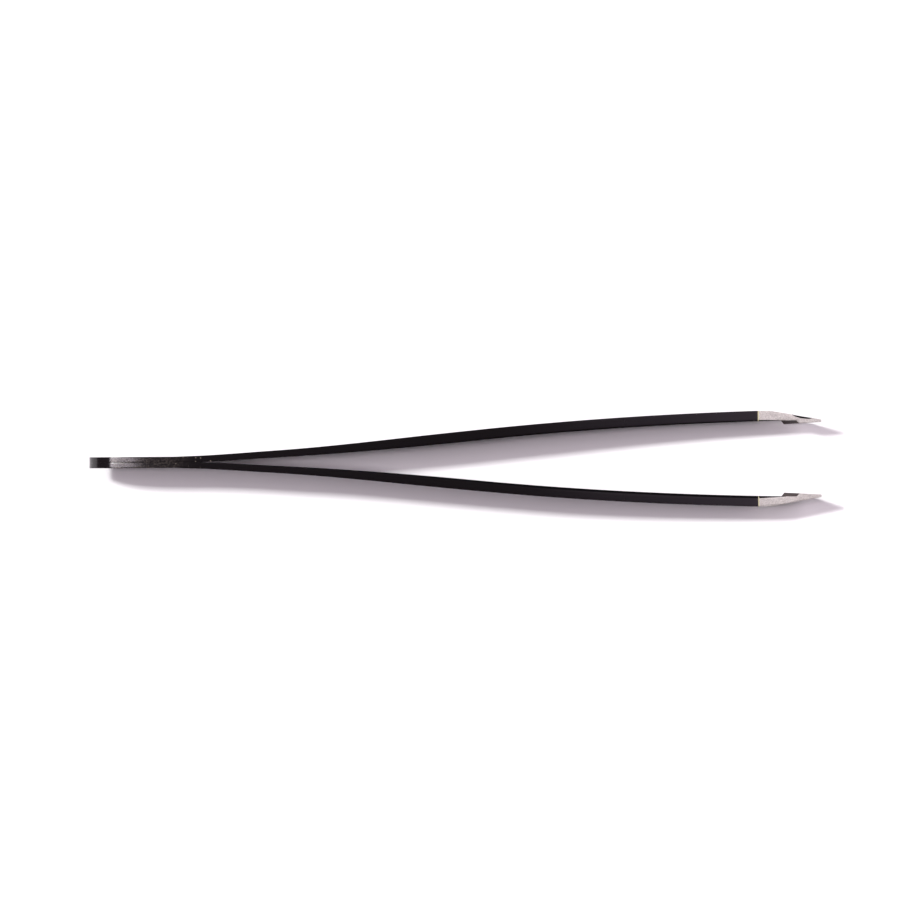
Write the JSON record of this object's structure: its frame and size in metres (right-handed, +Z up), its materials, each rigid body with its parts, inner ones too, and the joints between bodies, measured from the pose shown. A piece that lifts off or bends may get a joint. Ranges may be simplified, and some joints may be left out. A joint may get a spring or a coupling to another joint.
{
  "type": "slant tweezers",
  "caption": "Slant-tip tweezers: sprung stainless leaves spot-welded at the tail, black enamelled, with bare ground claw tips cut on a slant, for plucking hair.",
  "frame": {"origin": "middle of the length and of the gap between the arms, on the surface that the tweezers lie on, one side edge down", "axes": "+X from the welded tail to the slanted tip, +Y towards the left arm, the way it springs open, +Z up across the width of the arms; the long corner of the slanted edge is at +Z"},
  "size_m": [0.095, 0.0124, 0.0091],
  "materials": {
    "black_enamel": "satin",
    "ground_steel": "satin",
    "weld_steel": "matte"
  },
  "bodies": {
    "tail": {"left_tail_leaf": "black_enamel", "right_tail_leaf": "black_enamel", "rear_weld_nugget": "weld_steel", "front_weld_nugget": "weld_steel"},
    "left_arm": {"left_arm_blade": "black_enamel", "left_tip_claw": "ground_steel"},
    "right_arm": {"right_arm_blade": "black_enamel", "right_tip_claw": "ground_steel"}
  },
  "joints": [
    {"name": "left_arm_squeeze", "type": "hinge", "parent": "tail", "child": "left_arm", "pos_m": [-0.027, 0.00077, 0.00455], "axis": [0, 0, -1], "range_deg": [0, 3.6], "stiffness_Nm_per_rad": 4.5},
    {"name": "right_arm_squeeze", "type": "hinge", "parent": "tail", "child": "right_arm", "pos_m": [-0.027, -0.00077, 0.00455], "axis": [0, 0, 1], "range_deg": [0, 3.6], "stiffness_Nm_per_rad": 4.5}
  ]
}
